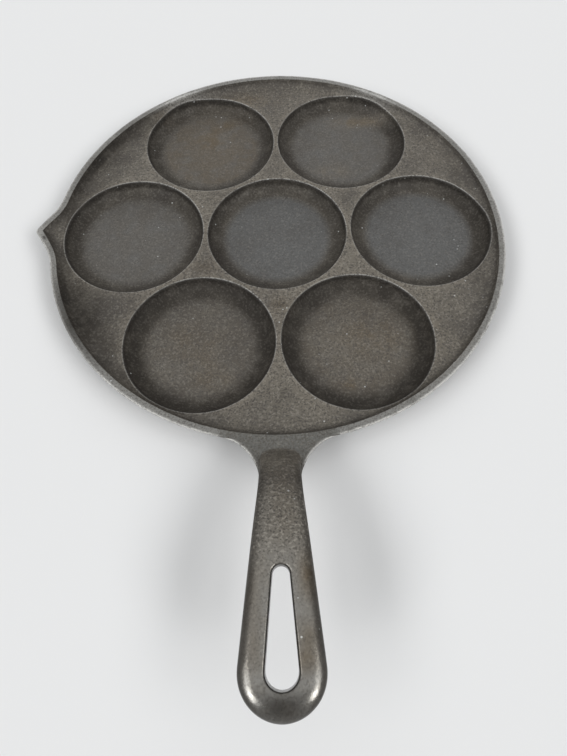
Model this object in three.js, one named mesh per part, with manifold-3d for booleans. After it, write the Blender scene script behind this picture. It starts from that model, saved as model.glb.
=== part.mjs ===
// Cast-iron pan with seven shallow round cups, a low rim, a pouring lip and a slotted handle.
// It is one casting, shown as its named regions, which meet face to face.
// Millimetres, +Z up. The origin is on the table under the centre cup, and the handle points to -Y.
import * as THREE from "three";
import { mergeVertices } from "three/addons/utils/BufferGeometryUtils.js";
import Module from "manifold-3d";

const wasm = await Module();
wasm.setup();

// Cups: one in the middle and six around it, all alike.
const CUPS_AROUND = 6;
const CUP_LIP_RADIUS = 36.85;
const CUP_FLOOR_RADIUS = 28.5;
const CUP_DEPTH = 5.5;
const CUP_FLOOR_THICKNESS = 4.5;
const CUP_LIP_ROUND = 0.5;
const CUP_WEB = 2.3; // metal left between neighbouring lips
const CUP_WEB_SHARE = 1 / 6; // of it that goes with each cup's region, the rest with the plate's
const CUP_FOOT_RADIUS = 30.5; // flat underside that the pan stands on
const CUP_WALL = 2.8; // wall of the cup where it leaves the plate's underside

// Plate and rim.
const PLATE_THICKNESS = 4;
const RIM_LAND = 1.85; // from an outer cup's lip to the inner edge of the rim
const RIM_TOP_WIDTH = 3.3;
const RIM_HEIGHT = 3.4; // above the plate
const RIM_COVE_RADIUS = 6; // hollow curve from the plate up to the rim
const RIM_UNDERCUT = 3.6; // how far the outer wall leans in on its way down
const RIM_EDGE_ROUND = 0.5;
const RIM_FOOT_ROUND = 1.6; // where the outer wall turns into the underside

// Pouring lip, a beak on the -X side of the rim.
const SPOUT_REACH = 8.8; // tip beyond the rim
const SPOUT_FLANK_ANGLE = THREE.MathUtils.degToRad(57); // flank against the beak's axis
const SPOUT_TIP_RADIUS = 3.2;
const SPOUT_BLEND_RADIUS = 30; // hollow curve from the flank into the rim
const SPOUT_MARGIN = THREE.MathUtils.degToRad(2.5); // plain rim kept on each side of the beak

// Gusset that spreads the handle's root into the rim, flush with the rim's top.
const GUSSET_RADIUS = 22.5;
const GUSSET_THICKNESS = 4;
const GUSSET_BITE = 2.2; // how deep it reaches into the rim
const HANDLE_SPLIT = 2; // the handle's region starts this far outside the rim

// Handle: reaches are measured outwards from the rim, heights from the table to mid-thickness.
const HANDLE_ROOT_HALF_WIDTH = 8.6;
const HANDLE_ROOT_THICKNESS = 6.6;
const HANDLE_ROOT_HEIGHT = 9.6;
const HANDLE_FOOT_REACH = 4; // where the bar starts to climb
const HANDLE_FOOT_HEIGHT = 10.1;
const HANDLE_RAMP_REACH = 14;
const HANDLE_RAMP_HEIGHT = 19;
const HANDLE_KNEE_REACH = 29;
const HANDLE_KNEE_HEIGHT = 27.8;
const HANDLE_NECK_REACH = 47.6;
const HANDLE_NECK_HEIGHT = 33.8;
const GRIP_REACH = 85.2; // middle of the round end
const GRIP_HEIGHT = 38.4;
const GRIP_RADIUS = 14.7;
const GRIP_THICKNESS = 9.4;
const GRIP_TAPER = THREE.MathUtils.degToRad(5.5); // each side of the bar against its axis
const TIP_DROOP = 1.4; // how far the mid-line drops from the grip to the tip
const TIP_BLUNT = 0.3; // the rounding of the tip ends this far short of it
const HANDLE_WAIST_BLEND = 0.6; // softens the change from parallel to tapered sides
const ROOT_CROWN = 2; // roundness of the bar's top at its root: 2 is an ellipse, more is squarer
const SECTION_CROWN = 2.4; // the same along the grip
const SECTION_BELLY = 3; // and of its underside

// Slot through the grip: a long drop shape, wide end outwards.
const SLOT_INNER_RADIUS = 3.1;
const SLOT_OUTER_RADIUS = 5.5;
const SLOT_INNER_REACH = 55.6; // middle of the narrow end
const SLOT_EDGE_ROUND = 1.5;

// Smoothness, in steps.
const CUP_STEPS = 40;
const RIM_STEPS = 72;
const SPOUT_STEPS = 10;
const SPOUT_CROWDING = 1.5; // draws the steps together near the beak's tip
const COVE_STEPS = 4;
const ROUND_STEPS = 2;
const HANDLE_STEPS = 21;
const SECTION_STEPS = 20;
const SLOT_STEPS = 8;
const FLARE_STEPS = 3;
const ARC_STEPS = 12;
const HALVINGS = 30; // of the search for a place on the handle's mid-line
const WELD = 1e-4; // points closer than this are one
const OVERRUN = 5; // how far a cutting shape passes the faces that it cuts

// Sizes that follow from the ones above.
const LIP_HEIGHT = CUP_DEPTH + CUP_FLOOR_THICKNESS;
const UNDERSIDE_HEIGHT = LIP_HEIGHT - PLATE_THICKNESS;
const RIM_TOP = LIP_HEIGHT + RIM_HEIGHT;
const CUP_PITCH = 2 * CUP_LIP_RADIUS + CUP_WEB;
const CUP_REGION_RADIUS = CUP_LIP_RADIUS + CUP_WEB * CUP_WEB_SHARE;
const PLATE_REGION_RADIUS = CUP_PITCH + CUP_LIP_RADIUS + RIM_LAND / 2;
const RIM_RADIUS = CUP_PITCH + CUP_LIP_RADIUS + RIM_LAND + RIM_TOP_WIDTH;
const WALL_HEIGHT = RIM_TOP - RIM_EDGE_ROUND - UNDERSIDE_HEIGHT; // leaning part of the outer wall
const COVE_RUN = Math.sqrt(2 * RIM_COVE_RADIUS * RIM_HEIGHT - RIM_HEIGHT ** 2);
const COVE_SWEEP = Math.acos(1 - RIM_HEIGHT / RIM_COVE_RADIUS);
const HANDLE_TIP_REACH = GRIP_REACH + GRIP_RADIUS;
const CEILING = GRIP_HEIGHT + GRIP_THICKNESS + OVERRUN; // above everything

const lerp = THREE.MathUtils.lerp;

// Closed solids and how they are joined and cut.

function solid(geometry) {
  const bare = new THREE.BufferGeometry();
  bare.setAttribute("position", geometry.getAttribute("position"));
  bare.setIndex(geometry.index);
  const merged = mergeVertices(bare, WELD);
  const corners = merged.index.array;
  const kept = [];
  for (let i = 0; i < corners.length; i += 3) {
    const [a, b, c] = corners.slice(i, i + 3);
    if (a !== b && b !== c && c !== a) kept.push(a, b, c);
  }
  const build = (triangles) =>
    new wasm.Manifold(
      new wasm.Mesh({
        numProp: 3,
        vertProperties: merged.attributes.position.array,
        triVerts: new Uint32Array(triangles),
      }),
    );
  const made = build(kept);
  return made.volume() > 0 ? made : build(kept.reverse());
}

function geometryOf(manifold) {
  const mesh = manifold.getMesh();
  const geometry = new THREE.BufferGeometry();
  geometry.setAttribute("position", new THREE.BufferAttribute(mesh.vertProperties, 3));
  geometry.setIndex(new THREE.BufferAttribute(mesh.triVerts, 1));
  geometry.computeVertexNormals();
  return geometry;
}

// A skin over rings of equal point counts, closed by a fan at each end.
function loft(rings) {
  const count = rings[0].length;
  const points = rings.flat();
  const index = [];
  for (let k = 0; k + 1 < rings.length; k++) {
    for (let i = 0; i < count; i++) {
      const a = k * count + i;
      const b = k * count + ((i + 1) % count);
      index.push(a, b, a + count, b, b + count, a + count);
    }
  }
  const last = (rings.length - 1) * count;
  for (const [start, flip] of [[0, true], [last, false]]) {
    const hub = points.length;
    const ring = points.slice(start, start + count);
    points.push(ring.reduce((sum, p) => sum.add(p), new THREE.Vector3()).divideScalar(count));
    for (let i = 0; i < count; i++) {
      const a = start + i;
      const b = start + ((i + 1) % count);
      index.push(...(flip ? [b, a, hub] : [a, b, hub]));
    }
  }
  return new THREE.BufferGeometry().setFromPoints(points).setIndex(index);
}

// A profile of [radius, height] pairs turned about the vertical line through a point of the plan.
function turned(profile, centre, steps) {
  const points = profile.map(([radius, height]) => new THREE.Vector2(radius, height));
  const geometry = new THREE.LatheGeometry(points, steps);
  geometry.rotateX(Math.PI / 2);
  geometry.translate(centre.x, centre.y, 0);
  return solid(geometry);
}

function upright(radius, centre, steps) {
  const profile = [[0, -OVERRUN], [radius, -OVERRUN], [radius, CEILING], [0, CEILING]];
  return turned(profile, centre, steps);
}

function standing(shape, low, high) {
  const geometry = new THREE.ExtrudeGeometry(shape, {
    depth: high - low,
    bevelEnabled: false,
  });
  geometry.translate(0, 0, low);
  return solid(geometry);
}

// A side view, drawn as reach from the rim against height, carried across the handle's width.
function across(shape, halfWidth) {
  const geometry = new THREE.ExtrudeGeometry(shape, { depth: 2 * halfWidth, bevelEnabled: false });
  const outwards = new THREE.Vector3(0, -1, 0);
  const upwards = new THREE.Vector3(0, 0, 1);
  const sideways = new THREE.Vector3(-1, 0, 0);
  geometry.applyMatrix4(new THREE.Matrix4().makeBasis(outwards, upwards, sideways));
  geometry.translate(halfWidth, -RIM_RADIUS, 0);
  return solid(geometry);
}

// Plan of the rim: a circle with the beak, seen from the pan's axis.

const tipCentre = RIM_RADIUS + SPOUT_REACH - SPOUT_TIP_RADIUS;
const flankNormal = new THREE.Vector2(Math.sin(SPOUT_FLANK_ANGLE), Math.cos(SPOUT_FLANK_ANGLE));
const flankOffset = tipCentre * flankNormal.x + SPOUT_TIP_RADIUS;
const blendDistance = RIM_RADIUS + SPOUT_BLEND_RADIUS;
const blendAngle =
  Math.asin((flankOffset + SPOUT_BLEND_RADIUS) / blendDistance) - SPOUT_FLANK_ANGLE;
const blendCentre = new THREE.Vector2(Math.cos(blendAngle), Math.sin(blendAngle)).multiplyScalar(
  blendDistance,
);

// Radius of the rim's outline, drawn in by an inset, at an angle from the beak's axis.
function outlineRadius(angle, inset) {
  const away = Math.abs(angle);
  if (away >= blendAngle) return RIM_RADIUS - inset;
  const ray = new THREE.Vector2(Math.cos(away), Math.sin(away));
  const blend = SPOUT_BLEND_RADIUS + inset;
  const flankStart = blendCentre.clone().addScaledVector(flankNormal, -blend);
  if (away > Math.max(0, flankStart.angle() % Math.PI) || flankStart.y < 0) {
    const along = blendCentre.dot(ray);
    return along - Math.sqrt(along ** 2 - blendDistance ** 2 + blend ** 2);
  }
  const tip = SPOUT_TIP_RADIUS - inset;
  const tipEdge = Math.atan2(tip * flankNormal.y, tipCentre + tip * flankNormal.x);
  if (tip > 0 && away < tipEdge) {
    return tipCentre * ray.x + Math.sqrt(tip ** 2 - (tipCentre * ray.y) ** 2);
  }
  return (flankOffset - inset) / flankNormal.dot(ray);
}

// Angles of the outline's points: close together on the beak, even round the rest of the rim.
function outlineAngles() {
  const beak = [];
  for (let i = 1; i <= SPOUT_STEPS; i++) {
    beak.push(blendAngle * (i / SPOUT_STEPS) ** SPOUT_CROWDING);
  }
  const rest = 2 * (Math.PI - blendAngle);
  const round = [];
  for (let i = 1; i < RIM_STEPS; i++) round.push(blendAngle + (rest * i) / RIM_STEPS);
  const back = beak.map((angle) => 2 * Math.PI - angle).reverse();
  return [0, ...beak, ...round, ...back];
}

// The pan without its cups: plate, coved rim, leaning outer wall and flat underside.
function panBlank() {
  const profile = [];
  for (let k = 0; k <= COVE_STEPS; k++) {
    const sweep = (COVE_SWEEP * k) / COVE_STEPS;
    const inset = RIM_TOP_WIDTH + COVE_RUN - RIM_COVE_RADIUS * Math.sin(sweep);
    profile.push([inset, LIP_HEIGHT + RIM_COVE_RADIUS * (1 - Math.cos(sweep))]);
  }
  profile.push([RIM_EDGE_ROUND, RIM_TOP]);
  profile.push([RIM_EDGE_ROUND * (1 - Math.SQRT1_2), RIM_TOP - RIM_EDGE_ROUND * (1 - Math.SQRT1_2)]);
  profile.push([0, RIM_TOP - RIM_EDGE_ROUND]);
  const wall = new THREE.Vector2(-RIM_UNDERCUT, WALL_HEIGHT).normalize();
  const foot = new THREE.QuadraticBezierCurve(
    new THREE.Vector2(RIM_UNDERCUT, UNDERSIDE_HEIGHT).addScaledVector(wall, RIM_FOOT_ROUND),
    new THREE.Vector2(RIM_UNDERCUT, UNDERSIDE_HEIGHT),
    new THREE.Vector2(RIM_UNDERCUT + RIM_FOOT_ROUND, UNDERSIDE_HEIGHT),
  );
  profile.push(...foot.getPoints(ROUND_STEPS).map((p) => [p.x, p.y]));
  const angles = outlineAngles();
  const rings = profile.map(([inset, height]) =>
    angles.map((angle) => {
      const radius = outlineRadius(angle <= Math.PI ? angle : angle - 2 * Math.PI, inset);
      return new THREE.Vector3(-radius * Math.cos(angle), -radius * Math.sin(angle), height);
    }),
  );
  return solid(loft(rings));
}

// Cups.

function cupHollow(centre) {
  const run = CUP_LIP_RADIUS - CUP_LIP_ROUND - CUP_FLOOR_RADIUS;
  const rise = CUP_DEPTH - CUP_LIP_ROUND;
  const radius = (run ** 2 + rise ** 2) / (2 * rise);
  const sweep = Math.asin(run / radius);
  const profile = [[0, CUP_FLOOR_THICKNESS]];
  for (let k = 0; k <= COVE_STEPS; k++) {
    const angle = (sweep * k) / COVE_STEPS;
    const out = CUP_FLOOR_RADIUS + radius * Math.sin(angle);
    profile.push([out, CUP_FLOOR_THICKNESS + radius * (1 - Math.cos(angle))]);
  }
  const lip = new THREE.QuadraticBezierCurve(
    new THREE.Vector2(CUP_LIP_RADIUS - CUP_LIP_ROUND, LIP_HEIGHT - CUP_LIP_ROUND),
    new THREE.Vector2(CUP_LIP_RADIUS - CUP_LIP_ROUND + CUP_LIP_ROUND / Math.tan(sweep), LIP_HEIGHT),
    new THREE.Vector2(CUP_LIP_RADIUS, LIP_HEIGHT),
  );
  profile.push(...lip.getPoints(ROUND_STEPS).slice(1).map((p) => [p.x, p.y]));
  profile.push([CUP_LIP_RADIUS, CEILING], [0, CEILING]);
  return turned(profile, centre, CUP_STEPS);
}

function cupBoss(centre) {
  const shoulder = CUP_FLOOR_RADIUS + (CUP_LIP_RADIUS - CUP_FLOOR_RADIUS) / 2 + CUP_WALL;
  const side = new THREE.QuadraticBezierCurve(
    new THREE.Vector2(CUP_FOOT_RADIUS, 0),
    new THREE.Vector2(shoulder - CUP_WALL / 2, 0),
    new THREE.Vector2(shoulder, UNDERSIDE_HEIGHT),
  );
  const profile = side.getPoints(ROUND_STEPS).map((p) => [p.x, p.y]);
  const middle = UNDERSIDE_HEIGHT + PLATE_THICKNESS / 2;
  return turned([[0, 0], ...profile, [shoulder, middle], [0, middle]], centre, CUP_STEPS);
}

function cupCentres() {
  const names = ["right", "rear_right", "rear_left", "left", "front_left", "front_right"];
  const centres = { center: new THREE.Vector2(0, 0) };
  names.forEach((name, i) => {
    const angle = (2 * Math.PI * i) / CUPS_AROUND;
    centres[name] = new THREE.Vector2(Math.cos(angle), Math.sin(angle)).multiplyScalar(CUP_PITCH);
  });
  return centres;
}

// Handle.

const handlePath = new THREE.SplineCurve(
  [
    [-GUSSET_BITE, HANDLE_ROOT_HEIGHT],
    [HANDLE_FOOT_REACH, HANDLE_FOOT_HEIGHT],
    [HANDLE_RAMP_REACH, HANDLE_RAMP_HEIGHT],
    [HANDLE_KNEE_REACH, HANDLE_KNEE_HEIGHT],
    [HANDLE_NECK_REACH, HANDLE_NECK_HEIGHT],
    [GRIP_REACH, GRIP_HEIGHT],
    [HANDLE_TIP_REACH, GRIP_HEIGHT - TIP_DROOP],
  ].map(([reach, height]) => new THREE.Vector2(reach, height)),
);

// Place on the handle's mid-line at a reach, with the slope of the bar there.
function handleAt(reach) {
  let [low, high] = [0, 1];
  for (let i = 0; i < HALVINGS; i++) {
    const middle = (low + high) / 2;
    if (handlePath.getPoint(middle).x < reach) low = middle;
    else high = middle;
  }
  return { height: handlePath.getPoint(low).y, along: handlePath.getTangent(low) };
}

// How much of its full thickness the bar has left towards the round tip.
function tipShare(reach) {
  const past = Math.max(0, reach - GRIP_REACH) / GRIP_RADIUS;
  return (1 - past ** SECTION_CROWN) ** (1 / SECTION_CROWN);
}

function handleHalfWidth(reach) {
  const past = reach - GRIP_REACH;
  if (past > -GRIP_RADIUS * Math.sin(GRIP_TAPER)) return Math.sqrt(GRIP_RADIUS ** 2 - past ** 2);
  const side = GRIP_RADIUS / Math.cos(GRIP_TAPER) + past * Math.tan(GRIP_TAPER);
  const root = HANDLE_ROOT_HALF_WIDTH;
  return (root + side + Math.hypot(root - side, HANDLE_WAIST_BLEND)) / 2;
}

function handleThickness(reach) {
  const climb = THREE.MathUtils.smoothstep(reach, HANDLE_FOOT_REACH, HANDLE_RAMP_REACH);
  return lerp(HANDLE_ROOT_THICKNESS, GRIP_THICKNESS, climb) * tipShare(reach);
}

function crownAt(reach) {
  const climb = THREE.MathUtils.smoothstep(reach, HANDLE_FOOT_REACH, HANDLE_KNEE_REACH);
  return lerp(ROOT_CROWN, SECTION_CROWN, climb);
}

function power(value, exponent) {
  return Math.sign(value) * Math.abs(value) ** exponent;
}

// One section of the bar, square to its mid-line.
function handleSection(reach) {
  const { height, along } = handleAt(reach);
  const halfWidth = handleHalfWidth(reach);
  const halfThickness = handleThickness(reach) / 2;
  const crown = crownAt(reach);
  const section = [];
  for (let i = 0; i < SECTION_STEPS; i++) {
    const angle = (2 * Math.PI * i) / SECTION_STEPS;
    const round = 2 / (Math.sin(angle) > 0 ? crown : SECTION_BELLY);
    const aside = halfWidth * power(Math.cos(angle), round);
    const up = halfThickness * power(Math.sin(angle), round);
    const out = RIM_RADIUS + reach - up * along.y;
    section.push(new THREE.Vector3(aside, -out, height + up * along.x));
  }
  return section;
}

function handleBar() {
  const rings = [];
  const straight = GRIP_REACH + GUSSET_BITE;
  for (let k = 0; k < HANDLE_STEPS; k++) {
    rings.push(handleSection(-GUSSET_BITE + (straight * k) / HANDLE_STEPS));
  }
  for (let k = 0; k < SLOT_STEPS; k++) {
    const turn = (Math.PI / 2) * (k / SLOT_STEPS);
    rings.push(handleSection(GRIP_REACH + GRIP_RADIUS * Math.sin(turn)));
  }
  rings.push(handleSection(HANDLE_TIP_REACH - TIP_BLUNT));
  return solid(loft(rings));
}

// Outline of the slot, let out by an allowance: two round ends joined by straight sides.
function slotOutline(allowance) {
  const lean = Math.asin((SLOT_OUTER_RADIUS - SLOT_INNER_RADIUS) / (GRIP_REACH - SLOT_INNER_REACH));
  const ends = [
    [GRIP_REACH, SLOT_OUTER_RADIUS + allowance, -lean, Math.PI + lean],
    [SLOT_INNER_REACH, SLOT_INNER_RADIUS + allowance, Math.PI + lean, 2 * Math.PI - lean],
  ];
  const outline = [];
  for (const [reach, radius, from, to] of ends) {
    for (let i = 0; i <= SLOT_STEPS; i++) {
      const angle = lerp(from, to, i / SLOT_STEPS);
      outline.push(new THREE.Vector2(radius * Math.cos(angle), reach + radius * Math.sin(angle)));
    }
  }
  return outline;
}

// The slot flares out at the bar's top and underside, which rounds its edges.
function slotCut() {
  const flare = [[SLOT_EDGE_ROUND, -OVERRUN]];
  for (let k = 0; k <= FLARE_STEPS; k++) {
    const turn = (Math.PI / 2) * (k / FLARE_STEPS);
    flare.push([SLOT_EDGE_ROUND * (1 - Math.sin(turn)), SLOT_EDGE_ROUND * (1 - Math.cos(turn))]);
  }
  const ring = ([allowance, depth], face) =>
    slotOutline(allowance).map(({ x, y }) => {
      const reach = Math.min(y, GRIP_REACH);
      const { height, along } = handleAt(y);
      const half = handleThickness(reach) / 2 / along.x;
      return new THREE.Vector3(x, -(RIM_RADIUS + y), height + face * (half - depth));
    });
  const top = flare.map((step) => ring(step, 1));
  const bottom = flare.map((step) => ring(step, -1)).reverse();
  return solid(loft([...top, ...bottom]));
}

// The gusset's outline, drawn in by an inset: a bite into the rim and two hollow curves to the bar.
function gussetOutline(inset, height) {
  const centreX = HANDLE_ROOT_HALF_WIDTH + GUSSET_RADIUS;
  const centreY = -Math.sqrt((RIM_RADIUS + GUSSET_RADIUS) ** 2 - centreX ** 2);
  const towardsRim = Math.atan2(-centreY, -centreX);
  const rimAngle = Math.asin(centreX / (RIM_RADIUS + GUSSET_RADIUS));
  const down = -Math.PI / 2;
  const arcs = [
    [0, 0, RIM_RADIUS - GUSSET_BITE, down - rimAngle, down + rimAngle],
    [centreX, centreY, GUSSET_RADIUS + inset, towardsRim, Math.PI],
    [-centreX, centreY, GUSSET_RADIUS + inset, 0, Math.PI - towardsRim],
  ];
  return arcs.flatMap(([x, y, radius, from, to]) => {
    const arc = new THREE.EllipseCurve(x, y, radius, radius, from, to, to < from);
    return arc.getPoints(ARC_STEPS).map((p) => new THREE.Vector3(p.x, p.y, height));
  });
}

// Its edge is rounded and leans in as the rim's does.
function gusset() {
  const lean = (RIM_UNDERCUT * (GUSSET_THICKNESS - RIM_EDGE_ROUND)) / WALL_HEIGHT;
  const rings = [
    gussetOutline(RIM_EDGE_ROUND, RIM_TOP),
    gussetOutline(0, RIM_TOP - RIM_EDGE_ROUND),
    gussetOutline(lean, RIM_TOP - GUSSET_THICKNESS),
  ];
  return solid(loft(rings)).intersect(aboveHandleUnderside());
}

// Everything over the bar's underside, so that the gusset runs out where the bar rises clear of it.
function aboveHandleUnderside() {
  const shape = new THREE.Shape();
  shape.moveTo(-RIM_RADIUS, CEILING);
  shape.lineTo(-RIM_RADIUS, 0);
  for (let k = 0; k <= ARC_STEPS; k++) {
    const reach = (HANDLE_KNEE_REACH * k) / ARC_STEPS;
    const { height, along } = handleAt(reach);
    shape.lineTo(reach, height - handleThickness(reach) / 2 / along.x);
  }
  shape.lineTo(HANDLE_KNEE_REACH, CEILING);
  shape.closePath();
  return across(shape, RIM_RADIUS);
}

// The casting as a whole.

function casting() {
  const centres = Object.values(cupCentres());
  let whole = panBlank().add(gusset()).add(handleBar().subtract(slotCut()));
  for (const centre of centres) whole = whole.add(cupBoss(centre));
  for (const centre of centres) whole = whole.subtract(cupHollow(centre));
  return whole;
}

// Regions: round each cup, the plate inside the rim, the beak's sector and beyond the rim's front.

function spoutSector() {
  const half = blendAngle + SPOUT_MARGIN;
  const reach = RIM_RADIUS + SPOUT_REACH + OVERRUN;
  const shape = new THREE.Shape();
  shape.moveTo(0, 0);
  shape.lineTo(-reach, reach * Math.tan(half));
  shape.lineTo(-reach, -reach * Math.tan(half));
  shape.closePath();
  return standing(shape, -OVERRUN, CEILING);
}

function handleSide() {
  const near = -(RIM_RADIUS + HANDLE_SPLIT);
  const far = -(RIM_RADIUS + HANDLE_TIP_REACH + OVERRUN);
  const half = RIM_RADIUS;
  const shape = new THREE.Shape();
  shape.moveTo(-half, far);
  shape.lineTo(half, far);
  shape.lineTo(half, near);
  shape.lineTo(-half, near);
  shape.closePath();
  return standing(shape, -OVERRUN, CEILING);
}

function regions() {
  const whole = casting();
  const parts = {};
  parts.handle = whole.intersect(handleSide());
  const pan = whole.subtract(handleSide());
  const disc = upright(PLATE_REGION_RADIUS, new THREE.Vector2(), RIM_STEPS);
  const border = pan.subtract(disc);
  parts.rim_wall = border.subtract(spoutSector());
  parts.pour_spout = border.intersect(spoutSector());
  let plate = pan.intersect(disc);
  for (const [name, centre] of Object.entries(cupCentres())) {
    const around = upright(CUP_REGION_RADIUS, centre, CUP_STEPS);
    parts["cup_" + name] = plate.intersect(around);
    plate = plate.subtract(around);
  }
  parts.web_plate = plate;
  return parts;
}

function seasonedIron() {
  return new THREE.MeshStandardMaterial({ color: 0x4a4845, roughness: 0.55, metalness: 0.75 });
}

const pan = new THREE.Group();
pan.name = "seven_cup_pan";
for (const [name, region] of Object.entries(regions())) {
  const mesh = new THREE.Mesh(geometryOf(region), seasonedIron());
  mesh.name = name;
  pan.add(mesh);
}

export default pan;
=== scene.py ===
"""Seven-cup cast-iron pan: a fine mesh for each region of the casting, its iron, and a plain studio."""
import math

import bmesh
import bpy
import numpy as np
from mathutils import Matrix, Vector
from mathutils.geometry import delaunay_2d_cdt


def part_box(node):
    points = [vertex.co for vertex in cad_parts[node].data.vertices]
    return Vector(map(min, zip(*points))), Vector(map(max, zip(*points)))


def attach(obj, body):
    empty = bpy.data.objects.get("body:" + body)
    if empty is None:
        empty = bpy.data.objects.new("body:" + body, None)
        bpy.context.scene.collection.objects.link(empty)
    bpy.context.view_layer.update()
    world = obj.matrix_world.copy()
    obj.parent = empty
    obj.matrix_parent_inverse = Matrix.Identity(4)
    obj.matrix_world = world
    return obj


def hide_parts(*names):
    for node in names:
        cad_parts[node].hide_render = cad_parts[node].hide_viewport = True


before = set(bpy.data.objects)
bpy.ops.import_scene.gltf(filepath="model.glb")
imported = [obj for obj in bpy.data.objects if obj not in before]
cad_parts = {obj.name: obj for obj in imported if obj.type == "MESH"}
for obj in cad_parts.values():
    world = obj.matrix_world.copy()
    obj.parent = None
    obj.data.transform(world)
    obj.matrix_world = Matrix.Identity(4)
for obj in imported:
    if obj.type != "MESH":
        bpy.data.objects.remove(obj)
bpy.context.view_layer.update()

MM = 0.001
SLOT = "seasoned_iron"
MASKS = ["wear_and_highlight", "grime_and_shade", "floor", "band", "grip", "rust", "pale"]

# Cups, in millimetres. The casting's sizes are those of the CAD model.
CUP_LIP_RADIUS = 36.85
CUP_FLOOR_RADIUS = 28.5
CUP_DEPTH = 5.5
CUP_FLOOR_THICKNESS = 4.5
CUP_LIP_ROUND = 0.5
CUP_WEB = 2.3
CUP_WEB_SHARE = 1 / 6  # of the web between two cups, what belongs to each
CUP_FOOT_RADIUS = 30.5
CUP_WALL = 2.8

# Plate and rim.
PLATE_THICKNESS = 4.0
RIM_LAND = 1.85
RIM_TOP_WIDTH = 3.3
RIM_HEIGHT = 3.4
RIM_COVE_RADIUS = 6.0
RIM_UNDERCUT = 3.6
RIM_EDGE_ROUND = 0.5
RIM_FOOT_ROUND = 1.6

# Pouring lip on the -X side.
SPOUT_REACH = 8.8
SPOUT_FLANK_ANGLE = math.radians(57)
SPOUT_TIP_RADIUS = 3.2
SPOUT_BLEND_RADIUS = 30.0
SPOUT_MARGIN = math.radians(2.5)
SPOUT_LEAN = 0.8  # the tip's shift towards +Y, a casting's unevenness

# Gusset and handle. Reaches are measured outwards from the rim, heights from the table.
GUSSET_RADIUS = 22.5
GUSSET_THICKNESS = 4.0
HANDLE_ROOT_HALF_WIDTH = 8.6
HANDLE_ROOT_THICKNESS = 6.6
HANDLE_FOOT_REACH = 4.0
HANDLE_RAMP_REACH = 14.0
HANDLE_KNEE_REACH = 29.0
GRIP_REACH = 85.2
GRIP_HEIGHT = 38.4
GRIP_RADIUS = 14.7
GRIP_THICKNESS = 9.4
GRIP_TAPER = math.radians(5.5)
TIP_DROOP = 1.4
HANDLE_WAIST_BLEND = 0.6
ROOT_CROWN = 2.0
SECTION_CROWN = 2.4
SECTION_BELLY = 3.0
SHOULDER_FILLET = 1.6  # hollow between the gusset's flat top and the climbing bar
LEAST_FILLET = 0.05
EDGE_CLIMB = (HANDLE_FOOT_REACH + 4, HANDLE_RAMP_REACH + 3)  # reaches between which the edge rises
BURIED_DEPTH = RIM_UNDERCUT + 1  # how far the handle's root runs back into the rim
BURIED_WIDTH = 0.96
BURIED_THICKNESS = 0.15
HANDLE_PATH = [  # reach and height of points on the bar's mid-line
    (-2.2, 9.6),
    (HANDLE_FOOT_REACH, 10.1),
    (HANDLE_RAMP_REACH, 19.0),
    (HANDLE_KNEE_REACH, 27.8),
    (47.6, 33.8),
    (GRIP_REACH, GRIP_HEIGHT),
    (GRIP_REACH + GRIP_RADIUS, GRIP_HEIGHT - TIP_DROOP),
]

# Slot through the grip.
SLOT_INNER_RADIUS = 3.1
SLOT_OUTER_RADIUS = 5.5
SLOT_INNER_REACH = 55.6
SLOT_EDGE_ROUND = 1.5

# Sizes that follow.
LIP_HEIGHT = CUP_DEPTH + CUP_FLOOR_THICKNESS
UNDERSIDE_HEIGHT = LIP_HEIGHT - PLATE_THICKNESS
RIM_TOP = LIP_HEIGHT + RIM_HEIGHT
CUP_PITCH = 2 * CUP_LIP_RADIUS + CUP_WEB
CUP_REGION_RADIUS = CUP_LIP_RADIUS + CUP_WEB * CUP_WEB_SHARE
PLATE_REGION_RADIUS = CUP_PITCH + CUP_LIP_RADIUS + RIM_LAND / 2
RIM_RADIUS = CUP_PITCH + CUP_LIP_RADIUS + RIM_LAND + RIM_TOP_WIDTH
WALL_HEIGHT = RIM_TOP - RIM_EDGE_ROUND - UNDERSIDE_HEIGHT
COVE_RUN = math.sqrt(2 * RIM_COVE_RADIUS * RIM_HEIGHT - RIM_HEIGHT**2)
COVE_FOOT = RIM_TOP_WIDTH + COVE_RUN  # inset at which the cove leaves the flat plate
TIP_REACH = GRIP_REACH + GRIP_RADIUS
SLOT_START = SLOT_INNER_REACH - SLOT_INNER_RADIUS
SLOT_END = GRIP_REACH + SLOT_OUTER_RADIUS

# Mesh fineness: counts of steps, and how they crowd together.
CUP_STEPS = 144
CUP_FLOOR_RINGS = 10
CUP_COVE_RINGS = 12
CUP_LIP_RINGS = 5
CUP_LAND_RINGS = 2
CUP_SIDE_RINGS = 8
CUP_FOOT_RINGS = 4
PLATE_COVE_RINGS = 13
GRID = 4.0  # spacing of the plate's inner points
LEAST_EDGE_GAP = 0.15  # inner points keep this far from the plate's edge
LEAST_CUP_GAP = 0.25  # and this far from the cups
RIM_STEPS = 300
RIM_COVE_STEPS = 6
BEAK_STEPS = 28
BEAK_COVE_STEPS = 22
BEAK_CROWDING = 1.4
BAND_SHARES = (0.06, 0.25, 0.5, 0.75, 0.94)  # across the rim's flat top
EDGE_STEPS = 6
WALL_STEPS = 7
UNDER_STEPS = 9
FOOT_STEPS = 32
COLUMNS = 36  # across each half of the handle
ROOT_ROWS = 5
FOOT_ROWS = 17
FOOT_CROWDING = 2
CLIMB_ROWS = 77
MOUTH_ROWS = 9  # just before the slot
MOUTH_CROWDING = 1.6
SLOT_ROWS = 33
SLOT_END_ROWS = 11
TIP_ROWS = 25
TIP_CROWDING = 1.5
PATH_STEPS = 1200
HALVINGS = 48
SHARP_ANGLE = math.radians(40)
TINY = 1e-6
NO_LENGTH = 1e-9
FAR_OFF = 1e3


def smoothstep(low, high, value):
    t = np.clip((value - low) / (high - low), 0, 1)
    return t * t * (3 - 2 * t)


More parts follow.
